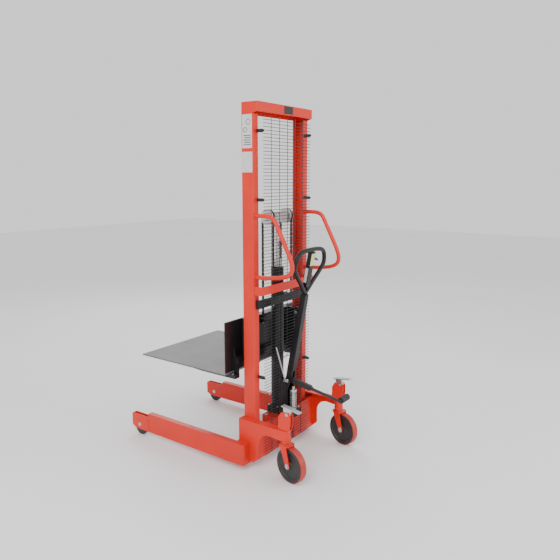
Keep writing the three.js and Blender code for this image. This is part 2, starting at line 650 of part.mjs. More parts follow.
function pumpPlunger() {
  const shaft = barZ(12.8, 0, PLUNGER_Y, 276, 400, 24);
  const cap = barZ(23, 0, PLUNGER_Y, 398, 404, 24);
  const stub = barZ(9, 0, PLUNGER_Y, 402, 420, 20);
  return unite(shaft, cap, stub);
}
piece('pump_plunger', pumpPlunger(), ZINC);

const SPRING_BOTTOM = 284.2;
const SPRING_TOP = 397.7;
piece('pump_spring', alongZ(turned([
  [14, SPRING_BOTTOM], [22, SPRING_BOTTOM], [22, SPRING_TOP], [14, SPRING_TOP], [14, SPRING_BOTTOM],
])).translate(0, PLUNGER_Y, 0), ZINC);

// The tiller is drawn upright on its pivot and then leant back to its rest angle.
function leant(geometry) {
  return geometry.rotateX(TILLER_TILT).translate(0, PIVOT_Y, PIVOT_Z);
}

// Tapered box tube with two ears that straddle the foot lever's hub.
function tillerArm() {
  const profile = [[-20, 60], [20, 60], [17, 540], [-17, 540]];
  const front = sweepX(profile.map(([y, s]) => [y, s]), -22, 22);
  const side = new THREE.ExtrudeGeometry(outline([[-22, 50], [22, 50], [17, 545], [-17, 545]]), {
    depth: 60, bevelEnabled: false,
  });
  side.rotateX(Math.PI / 2).translate(0, 30, 0);
  const tube = fromManifold(toManifold(front).intersect(toManifold(side)));
  const earProfile = [[-18, 70], ...arc(0, 0, 18, 180, 360, 10), [18, 70]];
  const ears = [[-24, -12], [12, 24]].map(([left, right]) => sweepX(earProfile, left, right));
  return cut(unite(tube, ...ears), barX(PIVOT_BORE, -40, 40, 0, 0, 20));
}
piece('tiller_arm', leant(tillerArm()), BLACK_PAINT);

// Closed steering loop, swept round a smooth curve in the tiller's plane.
function tillerLoop() {
  const right = [[10, 556], [60, 610], [118, 668], [147, 705], [150, 735], [135, 775], [105, 798], [60, 806]];
  const left = right.map(([x, s]) => [-x, s]).reverse();
  const points = [...right, [0, 808], ...left].map(([x, s]) => new THREE.Vector3(x, 0, s));
  const path = new THREE.CatmullRomCurve3(points, true, 'centripetal');
  return new THREE.TubeGeometry(path, 64, 12.5, 12, true);
}
piece('tiller_loop', leant(tillerLoop()), BLACK_PAINT);

// Control head that runs from the foot of the loop up to its top bar.
function tillerHead() {
  const face = [[0, 577], [22, 597], [22, 794], [-22, 794], [-22, 597]];
  const head = new THREE.ExtrudeGeometry(outline(face), {
    depth: 22, bevelEnabled: true, bevelThickness: 2, bevelSize: 2, bevelOffset: -2, bevelSegments: 1,
  });
  return head.translate(0, 0, -11).rotateX(Math.PI / 2);
}
piece('tiller_head', leant(tillerHead()), BLACK_PAINT);

const TRIGGER_S = 750;
function releaseTrigger() {
  const blade = [
    [25, TRIGGER_S - 7], [40, TRIGGER_S - 6], [58, TRIGGER_S - 9], [73, TRIGGER_S - 16],
    [77, TRIGGER_S - 10], [62, TRIGGER_S], [42, TRIGGER_S + 7], [25, TRIGGER_S + 7],
  ];
  const lever = new THREE.ExtrudeGeometry(outline(blade), { depth: 12, bevelEnabled: false });
  return lever.translate(0, 0, -6).rotateX(Math.PI / 2);
}
piece('release_trigger', leant(releaseTrigger()), BLACK_PLASTIC);

// Thin bent rod that opens the lowering valve.
function loweringLever() {
  const eye = barY(9, LOWERING_X, LOWERING_Z, -65, -48);
  const rod = rodBetween([LOWERING_X, LOWERING_Y, LOWERING_Z + 4], [-135, LOWERING_Y, 690], 4);
  return cut(unite(eye, rod), barY(4.1, LOWERING_X, LOWERING_Z, -80, -40));
}
piece('lowering_lever', loweringLever(), ZINC);

function footLever() {
  const half = 10;
  const hub = barX(18, -half, half, PIVOT_Y, PIVOT_Z, 24);
  const arm = sweepX([
    [PIVOT_Y, PIVOT_Z + 17], [-210, 452], [-222, 436], [-210, 422], [PIVOT_Y, PIVOT_Z - 17],
  ], -half, half);
  const bolt = barX(6, -half - 4, half + 4, -196, 424 + 8, 6);
  const rod = rodBetween([0, -200, 436.5], [0, -400, 401], 8.5, 16);
  const crossRod = barX(8.5, -6, 84, FOOT_PAD_Y, FOOT_PAD_Z, 16);
  const grip = barX(16, 12, 88, FOOT_PAD_Y, FOOT_PAD_Z, 20);
  return cut(unite(hub, arm, bolt, rod, crossRod, grip), barX(PIVOT_BORE, -20, 20, PIVOT_Y, PIVOT_Z, 20));
}
piece('foot_lever', footLever(), BLACK_PAINT);

for (const mesh of stacker.children) {
  mesh.geometry.translate(0, ROW_SHIFT, 0);
}

export default stacker;
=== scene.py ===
"""Finished looks of the walkie stacker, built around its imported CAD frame.

Metres, +Z up, +Y towards the load, +X to the operator's right.
"""

import math

import bmesh
import bpy
from mathutils import Matrix, Vector


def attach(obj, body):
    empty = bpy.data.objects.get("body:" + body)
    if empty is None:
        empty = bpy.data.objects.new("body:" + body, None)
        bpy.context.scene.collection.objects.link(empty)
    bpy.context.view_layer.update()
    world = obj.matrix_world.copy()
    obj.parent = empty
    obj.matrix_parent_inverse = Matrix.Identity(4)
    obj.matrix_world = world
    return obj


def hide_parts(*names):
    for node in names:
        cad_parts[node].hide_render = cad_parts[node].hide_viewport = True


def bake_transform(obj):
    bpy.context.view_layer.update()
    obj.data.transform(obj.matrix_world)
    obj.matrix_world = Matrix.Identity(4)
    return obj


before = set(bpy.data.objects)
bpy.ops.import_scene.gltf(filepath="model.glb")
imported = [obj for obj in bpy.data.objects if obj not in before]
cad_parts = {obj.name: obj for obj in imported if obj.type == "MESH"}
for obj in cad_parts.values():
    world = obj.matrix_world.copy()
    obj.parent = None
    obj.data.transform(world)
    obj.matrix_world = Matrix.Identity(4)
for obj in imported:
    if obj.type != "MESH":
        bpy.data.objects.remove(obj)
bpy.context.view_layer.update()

# ---------- shared sizes ----------
# BACK is the frame's Y of the uprights' rear face, and back(mm) places a point measured from that face.
BACK = -0.258
UPRIGHT_HALF = 0.268            # half width over the uprights
SIDE_OUTER = 0.316              # outer face of the base's side plates
SIDES = {"right": 1, "left": -1}
PIVOT = Vector((0, BACK - 0.062, 0.462))
TILLER_TILT = math.radians(10.6)
CASTER_TURN = math.radians(-12)
CASTER_TRAIL = 0.044
STEM_X = 0.29                   # swivel tube of the right caster
STEM_Y = BACK - 0.234
WHEEL_RADIUS = 0.1
FRONT_ROLLER_X = 0.36
CYLINDER_Y = BACK + 0.033
CHAIN_PITCH = 0.0127
CHAIN_WRAP_RADIUS = 0.0374      # from the sheave's axle to the middle of the chain
CHAIN_REAR_Y = BACK + 0.0345 - CHAIN_WRAP_RADIUS
CHAIN_FRONT_Y = BACK + 0.0345 + CHAIN_WRAP_RADIUS
SHEAVE_CENTRE = Vector((0.09, BACK + 0.0345, 1.433))


def back(mm):
    """The frame's Y of a point mm millimetres in front of the uprights' rear face."""
    return BACK + mm / 1000


# ---------- materials ----------
def material(name, colour, roughness, metallic=0.0, coat=0.0, specular=0.5):
    """A new material, its Principled shader, and a helper for adding nodes to it."""
    made = bpy.data.materials.new(name)
    made.use_nodes = True
    tree = made.node_tree
    shader = tree.nodes["Principled BSDF"]
    shader.inputs["Base Color"].default_value = (*colour, 1)
    shader.inputs["Roughness"].default_value = roughness
    shader.inputs["Metallic"].default_value = metallic
    shader.inputs["Coat Weight"].default_value = coat
    shader.inputs["Coat Roughness"].default_value = 0.12
    shader.inputs["Specular IOR Level"].default_value = specular

    def add(kind, **values):
        node = tree.nodes.new(kind)
        for key, value in values.items():
            if key in node.inputs:
                node.inputs[key].default_value = value
            else:
                setattr(node, key, value)
        return node

    return made, tree, shader, add


def noise(tree, add, scale, detail=4.0, roughness=0.55, stretch=(1, 1, 1)):
    """Noise in object space, so that it keeps its real scale; stretch draws it out along an axis."""
    place = add("ShaderNodeTexCoord")
    mapping = add("ShaderNodeMapping")
    mapping.inputs["Scale"].default_value = stretch
    texture = add("ShaderNodeTexNoise", Scale=scale, Detail=detail, Roughness=roughness)
    tree.links.new(place.outputs["Object"], mapping.inputs["Vector"])
    tree.links.new(mapping.outputs["Vector"], texture.inputs["Vector"])
    return texture


def ramp(tree, add, source, stops):
    """Colour ramp over a socket; stops is a list of (position, colour)."""
    node = add("ShaderNodeValToRGB")
    elements = node.color_ramp.elements
    while len(elements) < len(stops):
        elements.new(0.5)
    for element, (position, colour) in zip(elements, stops):
        element.position = position
        element.color = (*colour, 1)
    tree.links.new(source, node.inputs["Fac"])
    return node


def vary_colour(tree, add, shader, source, stops):
    node = ramp(tree, add, source, stops)
    tree.links.new(node.outputs["Color"], shader.inputs["Base Color"])
    return node


def vary_roughness(tree, add, shader, source, low, high):
    node = add("ShaderNodeMapRange")
    node.inputs["To Min"].default_value = low
    node.inputs["To Max"].default_value = high
    tree.links.new(source, node.inputs["Value"])
    tree.links.new(node.outputs["Result"], shader.inputs["Roughness"])


def bump(tree, add, shader, source, strength, distance):
    node = add("ShaderNodeBump", Strength=strength, Distance=distance)
    tree.links.new(source, node.inputs["Height"])
    tree.links.new(node.outputs["Normal"], shader.inputs["Normal"])


def painted(name, colour, shade, edge_highlight, roughness, coat, specular):
    """Sprayed paint: orange peel, a soft change of tone, and a painted highlight in patches along the sharp
    edges.
    """
    made, tree, shader, add = material(name, colour, roughness, coat=coat, specular=specular)
    tone = noise(tree, add, 3.5, detail=5)
    base = ramp(tree, add, tone.outputs["Fac"], [(0.3, shade), (0.7, colour)])
    # Painted highlight: the sharp convex edges turn paler, broken into patches by noise.
    edge = add("ShaderNodeNewGeometry")
    edge_highlight_mask = ramp(tree, add, edge.outputs["Pointiness"], [(0.56, (0, 0, 0)), (0.68, (0.55, 0.55, 0.55))])
    patchy = noise(tree, add, 40, detail=6)
    mask = add("ShaderNodeMath", operation="MULTIPLY")
    tree.links.new(edge_highlight_mask.outputs["Color"], mask.inputs[0])
    tree.links.new(patchy.outputs["Fac"], mask.inputs[1])
    mix = add("ShaderNodeMix", data_type="RGBA")
    mix.inputs[7].default_value = (*edge_highlight, 1)
    tree.links.new(mask.outputs["Value"], mix.inputs[0])
    tree.links.new(base.outputs["Color"], mix.inputs[6])
    tree.links.new(mix.outputs[2], shader.inputs["Base Color"])
    smear = noise(tree, add, 14, detail=6)
    vary_roughness(tree, add, shader, smear.outputs["Fac"], roughness - 0.09, roughness + 0.12)
    peel = noise(tree, add, 420, detail=2)
    bump(tree, add, shader, peel.outputs["Fac"], 0.12, 0.0006)
    return made


def plated(name, colour, shade, roughness, stretch=(1, 1, 1), scale=60, metallic=1.0):
    """Plated or bare steel: faint drawn grain and cloudy tarnish."""
    made, tree, shader, add = material(name, colour, roughness, metallic)
    cloud = noise(tree, add, scale, detail=6)
    vary_colour(tree, add, shader, cloud.outputs["Fac"], [(0.32, shade), (0.68, colour)])
    grain = noise(tree, add, 320, detail=3, stretch=stretch)
    vary_roughness(tree, add, shader, grain.outputs["Fac"], max(0.04, roughness - 0.1), roughness + 0.14)
    bump(tree, add, shader, grain.outputs["Fac"], 0.08, 0.0004)
    return made


def moulded(name, colour, shade, roughness, grain_scale=700, strength=0.25):
    """Moulded plastic or rubber: fine grain with a little dust."""
    made, tree, shader, add = material(name, colour, roughness)
    dust = noise(tree, add, 18, detail=7)
    vary_colour(tree, add, shader, dust.outputs["Fac"], [(0.35, shade), (0.72, colour)])
    vary_roughness(tree, add, shader, dust.outputs["Fac"], roughness - 0.1, roughness + 0.12)
    grain = noise(tree, add, grain_scale, detail=3)
    bump(tree, add, shader, grain.outputs["Fac"], strength, 0.0004)
    return made


def deck_paint():
    """Matt grey sheet with long scuffs along the loading direction."""
    made, tree, shader, add = material("deck_grey", (0.23, 0.225, 0.22), 0.5)
    cloud = noise(tree, add, 5, detail=7)
    base = ramp(tree, add, cloud.outputs["Fac"], [(0.3, (0.095, 0.094, 0.092)), (0.7, (0.135, 0.133, 0.13))])
    scuff = noise(tree, add, 60, detail=5, stretch=(1, 0.06, 1))
    marks = ramp(tree, add, scuff.outputs["Fac"], [(0.6, (0, 0, 0)), (0.72, (0.3, 0.3, 0.3))])
    mix = add("ShaderNodeMix", data_type="RGBA")
    mix.inputs[7].default_value = (0.22, 0.217, 0.213, 1)
    tree.links.new(marks.outputs["Color"], mix.inputs[0])
    tree.links.new(base.outputs["Color"], mix.inputs[6])
    tree.links.new(mix.outputs[2], shader.inputs["Base Color"])
    vary_roughness(tree, add, shader, scuff.outputs["Fac"], 0.38, 0.62)
    grain = noise(tree, add, 500, detail=2)
    bump(tree, add, shader, grain.outputs["Fac"], 0.1, 0.0004)
    return made


MAT = {
    # The third colour of each paint is its painted edge highlight.
    "red_paint": painted(
        "red_paint", (0.72, 0.022, 0.007), (0.60, 0.016, 0.006), (0.84, 0.16, 0.08), 0.38, 0.12, 0.3),
    "black_paint": painted(
        "black_paint", (0.010, 0.010, 0.011), (0.005, 0.005, 0.006), (0.08, 0.08, 0.08), 0.38, 0.1, 0.3),
    "zinc_plate": plated("zinc_plate", (0.66, 0.67, 0.66), (0.50, 0.51, 0.51), 0.32),
    "yellow_zinc": plated("yellow_zinc", (0.66, 0.52, 0.24), (0.50, 0.40, 0.22), 0.34),
    "chrome_rod": plated(
        "chrome_rod", (0.86, 0.87, 0.88), (0.78, 0.79, 0.80), 0.12, stretch=(1, 1, 14), scale=9),
    "chain_steel": plated("chain_steel", (0.10, 0.095, 0.09), (0.045, 0.042, 0.04), 0.42, scale=130),
    "guard_wire": plated("guard_wire", (0.085, 0.085, 0.09), (0.05, 0.05, 0.055), 0.5, scale=90),
    "grey_deck": deck_paint(),
    "black_plastic": moulded("black_plastic", (0.024, 0.024, 0.025), (0.011, 0.011, 0.011), 0.5),
    "wheel_rubber": moulded(
        "wheel_black", (0.026, 0.025, 0.025), (0.012, 0.012, 0.012), 0.46, grain_scale=500),
    "red_tread": moulded("tread_red", (0.50, 0.028, 0.018), (0.36, 0.02, 0.014), 0.42, grain_scale=420),
    "label_grey": moulded(
        "label_grey", (0.62, 0.62, 0.61), (0.52, 0.52, 0.52), 0.4, grain_scale=900, strength=0.05),
    "label_ink": moulded(
        "label_ink", (0.05, 0.05, 0.05), (0.03, 0.03, 0.03), 0.42, grain_scale=900, strength=0.05),
    "label_yellow": moulded(
        "label_yellow", (0.72, 0.70, 0.28), (0.62, 0.60, 0.24), 0.4, grain_scale=900, strength=0.05),
}


# ---------- piece builders ----------
def paint(obj, key):
    obj.data.materials.clear()
    obj.data.materials.append(MAT[key])


def smooth(obj, angle=32):
    for polygon in obj.data.polygons:
        polygon.use_smooth = True
    obj.data.set_sharp_from_angle(angle=math.radians(angle))


def add_bevel(obj, width, segments=3, angle=32):
    rounding = obj.modifiers.new("edge_round", "BEVEL")
    rounding.width = width
    rounding.segments = segments
    rounding.limit_method = "ANGLE"
    rounding.angle_limit = math.radians(angle)
    rounding.use_clamp_overlap = True
    normals = obj.modifiers.new("even_normals", "WEIGHTED_NORMAL")
    normals.keep_sharp = False


def finish_piece(name, bm, body, key, bevel=0.0):
    """Turns a bmesh into a piece with its finish.

    It rides on a body, or on none when body is empty.
    """
    bmesh.ops.recalc_face_normals(bm, faces=bm.faces)
    mesh = bpy.data.meshes.new(name)
    bm.to_mesh(mesh)
    bm.free()
    obj = bpy.data.objects.new(name, mesh)
    bpy.context.scene.collection.objects.link(obj)
    smooth(obj)
    if bevel:
        add_bevel(obj, bevel)
    paint(obj, key)
    if body:
        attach(obj, body)
    return obj


def axis_matrix(axis):
    """Rotation that takes +Z to the axis."""
    return Vector((0, 0, 1)).rotation_difference(Vector(axis).normalized()).to_matrix().to_4x4()


def add_turned(bm, profile, centre, axis=(0, 0, 1), segments=72):
    """Adds a turned solid. profile lists (radius, height) and closes on itself or ends on the axis."""
    place = Matrix.Translation(Vector(centre)) @ axis_matrix(axis)
    rings = []
    for radius, height in profile:
        if radius < 1e-7:
            rings.append([bm.verts.new(place @ Vector((0, 0, height)))])
            continue
        rings.append([
            bm.verts.new(place @ Vector((
                radius * math.cos(math.tau * step / segments),
                radius * math.sin(math.tau * step / segments),
                height)))
            for step in range(segments)])
    open_ends = len(rings[0]) == 1
    pairs = list(zip(rings, rings[1:])) + ([] if open_ends else [(rings[-1], rings[0])])
    for low, high in pairs:
        for step in range(segments):
            after = (step + 1) % segments
            if len(low) == 1 and len(high) == 1:
                continue
            if len(low) == 1:
                bm.faces.new((low[0], high[after], high[step]))
            elif len(high) == 1:
                bm.faces.new((low[step], low[after], high[0]))
            else:
                bm.faces.new((low[step], low[after], high[after], high[step]))


def both_faces(half):
    """A wheel's whole profile from the half below its middle plane."""
    return half + [(radius, -height) for radius, height in reversed(half)]


def add_rod(bm, start, end, radius, chamfer=0.0008, segments=32):
    """A round bar between two points with softened ends."""
    span = Vector(end) - Vector(start)
    length = span.length
    add_turned(bm, [
        (0, 0), (radius - chamfer, 0), (radius, chamfer), (radius, length - chamfer),
        (radius - chamfer, length), (0, length)], start, span, segments)


def add_tube(bm, points, radius, sides=12, closed=False):
    """Sweeps a round section along points, carrying the section's frame from one point to the next."""
    path = [Vector(point) for point in points]
    count = len(path)
    tangents = []
    for index in range(count):
        before = path[index - 1] if closed or index else path[index]
        after = path[(index + 1) % count] if closed or index < count - 1 else path[index]
        tangents.append((after - before).normalized())
    helper = Vector((0, 0, 1)) if abs(tangents[0].z) < 0.9 else Vector((1, 0, 0))
    side = tangents[0].cross(helper).normalized()
    rings = []
    for point, tangent in zip(path, tangents):
        side = (side - tangent * side.dot(tangent)).normalized()
        across = tangent.cross(side)
        size = radius(len(rings) / (count - 1)) if callable(radius) else radius
        rings.append([
            bm.verts.new(point + size * (
                side * math.cos(math.tau * step / sides) + across * math.sin(math.tau * step / sides)))
            for step in range(sides)])
    for index in range(count if closed else count - 1):
        low, high = rings[index], rings[(index + 1) % count]
        for step in range(sides):
            after = (step + 1) % sides
            bm.faces.new((low[step], low[after], high[after], high[step]))
    if not closed:
        bm.faces.new(list(reversed(rings[0])))
        bm.faces.new(rings[-1])


def curve_points(control, per_span=8, closed=False):
    """Catmull-Rom points through the control points."""
    points = [Vector(p) for p in control]
    count = len(points)
    out = []
    for index in range(count if closed else count - 1):
        a, b, c, d = (
            points[(index + shift) % count] if closed else points[min(max(index + shift, 0), count - 1)]
            for shift in (-1, 0, 1, 2))
        for step in range(per_span):
            t = step / per_span
            out.append(0.5 * (
                2 * b + (c - a) * t + (2 * a - 5 * b + 4 * c - d) * t * t + (3 * b - 3 * c + d - a) * t ** 3))
    if not closed:
        out.append(points[-1])
    return out


def add_prism(bm, outline, place, depth):
    """Outline in the local XY plane, extruded along local +Z."""
    low = [bm.verts.new(place @ Vector((a, b, 0))) for a, b in outline]
    high = [bm.verts.new(place @ Vector((a, b, depth))) for a, b in outline]
    bm.faces.new(list(reversed(low)))
    bm.faces.new(high)
    for step in range(len(outline)):
        after = (step + 1) % len(outline)
        bm.faces.new((low[step], low[after], high[after], high[step]))


def add_block(bm, low, high):
    add_prism(bm, [
        (low[0], low[1]), (high[0], low[1]), (high[0], high[1]), (low[0], high[1])],
        Matrix.Translation((0, 0, low[2])), high[2] - low[2])


def add_bolt(bm, centre, axis, radius=0.006, height=0.005):
    """Hexagon head on a washer, with a domed top; axis points away from the surface."""
    place = Matrix.Translation(Vector(centre)) @ axis_matrix(axis)
    add_turned(bm, [(0, 0), (radius * 1.45, 0), (radius * 1.45, 0.0012), (0, 0.0012)], centre, axis, 28)
    hexagon = [
        (radius * math.cos(math.tau * (step + 0.5) / 6), radius * math.sin(math.tau * (step + 0.5) / 6))
        for step in range(6)]
    add_prism(bm, hexagon, place @ Matrix.Translation((0, 0, 0.0012)), height)
    top = place @ Vector((0, 0, 0.0012 + height))
    add_turned(bm, [
        (0, -0.0005), (radius * 0.72, -0.0005), (radius * 0.72, 0.0002), (radius * 0.5, 0.0009), (0, 0.0012)],
        top, axis, 28)


def add_weld(bm, start, end, radius=0.0028):
    """A weld bead: a round run with the ripples of its puddles."""
    first, last = Vector(start), Vector(end)
    ripples = max(2, int((last - first).length / 0.0045))
    count = ripples * 6
    points = [first.lerp(last, step / count) for step in range(count + 1)]
    add_tube(bm, points, lambda t: radius * (0.86 + 0.14 * abs(math.sin(math.pi * ripples * t))), 10)


def add_ring_weld(bm, centre, axis, ring, radius=0.0024):
    """A weld bead run once round a joint."""
    place = Matrix.Translation(Vector(centre)) @ axis_matrix(axis)
    steps = 96
    points = [
        place @ Vector((ring * math.cos(math.tau * s / steps), ring * math.sin(math.tau * s / steps), 0))
        for s in range(steps)]
    add_tube(bm, points, lambda t: radius * (0.86 + 0.14 * abs(math.sin(math.pi * 30 * t))), 8, closed=True)


def add_coil(bm, centre, low, high, coil_radius, wire, turns):
    """Compression spring on a vertical axis, its end turns closed and flat."""
    steps = int(turns * 26)
    points = []
    for step in range(steps + 1):
        t = step / steps
        rise = min(max((t * turns - 0.9) / (turns - 1.8), 0), 1)
        angle = math.tau * turns * t
        points.append((
            centre[0] + coil_radius * math.cos(angle), centre[1] + coil_radius * math.sin(angle),
            low + wire + (high - low - 2 * wire) * rise))
    add_tube(bm, points, wire, 10)


# ---------- CAD nodes that keep their shape ----------
CAD_FINISH = {
    "base_side": ("red_paint", 0.0018), "leg": ("red_paint", 0.004),
    "roller_fork": ("red_paint", 0.0018), "caster_fork": ("red_paint", 0.0012),
    "brake_housing": ("red_paint", 0.001), "brake_pedal": ("zinc_plate", 0.001),
    "brake_rod": ("yellow_zinc", 0.0006),
    "carriage_roller_low": ("zinc_plate", 0.0006), "carriage_roller_high": ("zinc_plate", 0.0006),
}
CAD_SINGLE = {
    "top_beam": ("red_paint", 0.0025), "mid_brace": ("red_paint", 0.0018),
    "base_cross": ("red_paint", 0.0018),
    "anchor_bar": ("black_paint", 0.0015),
    "back_plate": ("black_paint", 0.0012), "carriage_frame": ("black_paint", 0.0012),
    "platform": ("grey_deck", 0.0014), "pump_block": ("black_paint", 0.002),
    "pump_clevis": ("black_paint", 0.0012), "pivot_pin": ("zinc_plate", 0.0008),
    "pump_plunger": ("zinc_plate", 0.0008),
    "tiller_arm": ("black_paint", 0.003), "tiller_head": ("black_paint", 0.0015),
    "release_trigger": ("black_plastic", 0.0022), "crosshead": ("zinc_plate", 0.0015),
    "foot_lever": ("black_paint", 0.0015), "lowering_lever": ("zinc_plate", 0.0008),
}


def dress_node(name, key, width):
    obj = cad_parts[name]
    weld = obj.modifiers.new("join_vertices", "WELD")
    weld.merge_threshold = 0.00001
    add_bevel(obj, width)
    for polygon in obj.data.polygons:
        polygon.use_smooth = True
    paint(obj, key)


for stem, (finish, width) in CAD_FINISH.items():
    for side_name in SIDES:
        dress_node(f"{stem}_{side_name}", finish, width)
for node, (finish, width) in CAD_SINGLE.items():
    dress_node(node, finish, width)


# ---------- uprights ----------
def uprights():
    """One folded channel a side, with round outer corners, open towards the middle."""
    lip, outer, wall, corner = 0.2212, UPRIGHT_HALF, 0.008, 0.005
    low, high, rear, front = 0.045, 1.9885, back(0), back(78)
    rounds = [math.radians(angle) for angle in (-90, -67.5, -45, -22.5, 0)]
    rear_corner = [
        (outer - corner + corner * math.cos(t), rear + corner + corner * math.sin(t)) for t in rounds]
    front_corner = [(x, rear + front - y) for x, y in reversed(rear_corner)]
    section = [
        (lip, rear), *rear_corner, *front_corner, (lip, front), (lip, front - wall),
        (outer - wall, front - wall), (outer - wall, rear + wall), (lip, rear + wall)]
    for side_name, side in SIDES.items():
        bm = bmesh.new()
        add_prism(bm, [(side * x, y) for x, y in section], Matrix.Translation((0, 0, low)), high - low)
        channel = finish_piece(f"upright_channel_{side_name}", bm, "mast", "red_paint", 0.0008)
        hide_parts(*(f"upright_{part}_{side_name}" for part in ("web", "front", "rear")))


uprights()


# ---------- wire guard ----------
def wire_guard():
    """Fine welded mesh on a flat panel, with a cut-out for the pump and tiller, and dark clips."""
    half, plane, wire = 0.230, back(-42), 0.0017
    cut_half, cut_low, cut_high = 0.062, 0.236, 0.600
    pitch, low, high = 0.01845, 0.058, 1.976
    bm = bmesh.new()
    for row in range(int((high - low) / pitch) + 1):
        z = low + pitch * row
        for sign in (1, -1):
            inner = cut_half if cut_low < z < cut_high else 0.0
            add_tube(bm, [(sign * inner, plane, z), (sign * half, plane, z)], wire, 8)
    front = plane + 2.1 * wire                  # the upright wires lie against the front of the rows
    for x in (-0.154, -0.077, 0.0, 0.077, 0.154):
        bottom = cut_high if x == 0.0 else low - 0.006
        add_tube(bm, [(x, front, bottom), (x, front, high + 0.004)], wire, 8)
    for sign in (1, -1):
        add_tube(bm, [(sign * cut_half, front, low), (sign * cut_half, front, cut_high)], wire * 1.3, 8)
    add_tube(bm, [(-cut_half, front, cut_high), (cut_half, front, cut_high)], wire * 1.3, 8)
    guard = finish_piece("guard_mesh", bm, "mast", "guard_wire")
    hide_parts("wire_guard")

    clips = bmesh.new()
    for z in (1.900, 1.535, 0.530):
        for sign in (1, -1):
            x = sign * 0.231
            add_block(clips, (x - 0.005, back(-38.7), z - 0.009), (x + 0.005, back(-0.4), z + 0.009))
            add_bolt(clips, (x, back(-43.5), z), (0, -1, 0), 0.0045, 0.003)
    finish_piece("guard_clips", clips, "mast", "black_plastic", 0.0008)


wire_guard()


# ---------- lift cylinder, ram and sheaves ----------
def lift_cylinder():
    """Barrel on its foot with its clamp welds, knurled gland ring, and the chromed ram."""
    centre = (0, CYLINDER_Y, 0)
    bm = bmesh.new()
    add_turned(bm, [
        (0, 0.2834), (0.036, 0.2834), (0.0375, 0.2845), (0.0375, 1.1372), (0.0362, 1.1385), (0.0166, 1.1385),
        (0.0166, 0.304), (0, 0.304)], centre, segments=96)
    barrel = finish_piece("barrel_tube", bm, "mast", "black_paint")
    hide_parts("cylinder_barrel")
    foot = bmesh.new()
    add_block(foot, (-0.050, back(-8), 0.2413), (0.050, back(74), 0.2832))
    finish_piece("cylinder_foot", foot, "mast", "black_paint", 0.002)
    welds = bmesh.new()
    add_ring_weld(welds, (0, CYLINDER_Y, 0.2858), (0, 0, 1), 0.0382, 0.003)
    for z in (0.9285, 0.9815):
        add_weld(welds, (-0.044, back(-4), z), (0.044, back(-4), z), 0.0022)
    finish_piece("barrel_welds", welds, "mast", "black_paint")
    nut = bmesh.new()
    add_turned(nut, [
        (0.0166, 1.1395), (0.0245, 1.1395), (0.026, 1.141), (0.026, 1.1685), (0.0245, 1.170), (0.023, 1.172),
        (0.023, 1.182), (0.0218, 1.1835), (0.0185, 1.1835), (0.0166, 1.1822)], centre, segments=96)
    knurls, knurl_circle = 24, 0.0257
    for step in range(knurls):
        angle = math.tau * step / knurls
        x, y = knurl_circle * math.cos(angle), CYLINDER_Y + knurl_circle * math.sin(angle)
        add_rod(nut, (x, y, 1.1435), (x, y, 1.1665), 0.0011, 0.0004, 10)
    finish_piece("gland_ring", nut, "mast", "zinc_plate")
    rod = bmesh.new()
    add_turned(rod, [
        (0, 0.5), (0.0145, 0.5), (0.016, 0.5015), (0.016, 1.394), (0.0152, 1.395), (0.0152, 1.3965),
        (0.016, 1.3975), (0.016, 1.3997), (0, 1.3997)], centre, segments=96)
    ram = finish_piece("ram_chromed", rod, "ram", "chrome_rod")
    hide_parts("ram_rod")


lift_cylinder()


def sheaves():
    """Grooved chain wheels and the bolts in the ends of their axles."""
    for side_name, sign in SIDES.items():
        bm = bmesh.new()
        centre = (sign * SHEAVE_CENTRE.x, SHEAVE_CENTRE.y, SHEAVE_CENTRE.z)
        add_turned(bm, both_faces([
            (0.0101, -0.0105), (0.022, -0.0105), (0.023, -0.0095), (0.036, -0.0095), (0.037, -0.0105),
            (0.0438, -0.0105), (0.045, -0.0097), (0.045, -0.0092), (0.0332, -0.008)]), centre, (1, 0, 0), 96)
        sheave = finish_piece(f"sheave_wheel_{side_name}", bm, f"sheave_{side_name}", "zinc_plate")
        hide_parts(f"sheave_{side_name}")
        heads = bmesh.new()
        add_bolt(heads, (sign * 0.1072, centre[1], centre[2]), (sign, 0, 0), 0.009, 0.003)
        finish_piece(f"sheave_axle_bolt_{side_name}", heads, "ram", "zinc_plate", 0.0005)


sheaves()


# ---------- leaf chains ----------
def link_outline(steps=7):
    """Figure-of-eight side plate of one link, along local X, centred."""
    radius, waist, half = 0.0041, 0.0030, CHAIN_PITCH / 2
    right = [
        (half + radius * math.cos(a), radius * math.sin(a))
        for a in (math.radians(-120 + 240 * s / steps) for s in range(steps + 1))]
    left = [(-x, -y) for x, y in right]
    return [(0, -waist)] + right + [(0, waist)] + left


LINK = link_outline()


def add_link(bm, x, point, direction, wide):
    """One set of plates, its pins half a pitch either side of point. Wide sets alternate with narrow ones."""
    along = Vector(direction).normalized()
    across = Vector((1, 0, 0))
    up = across.cross(along)
    turn = Matrix((
        (along.x, up.x, across.x, 0), (along.y, up.y, across.y, 0), (along.z, up.z, across.z, 0),
        (0, 0, 0, 1)))
    starts = (-0.0070, -0.0030, 0.0014, 0.0054) if wide else (-0.0050, -0.0008, 0.0034)
    for start in starts:
        place = Matrix.Translation(Vector((x + start, point[1], point[2]))) @ turn
        add_prism(bm, LINK, place, 0.0016)


def add_chain(bm, x, points):
    """Leaf chain through points that lie a pitch apart."""
    for index, (a, b) in enumerate(zip(points, points[1:])):
        middle = (Vector(a) + Vector(b)) / 2
        add_link(bm, x, middle, Vector(b) - Vector(a), index % 2 == 0)
    for point in points:
        add_rod(bm, (x - 0.0074, point[1], point[2]), (x + 0.0074, point[1], point[2]), 0.0021, 0.0004, 12)


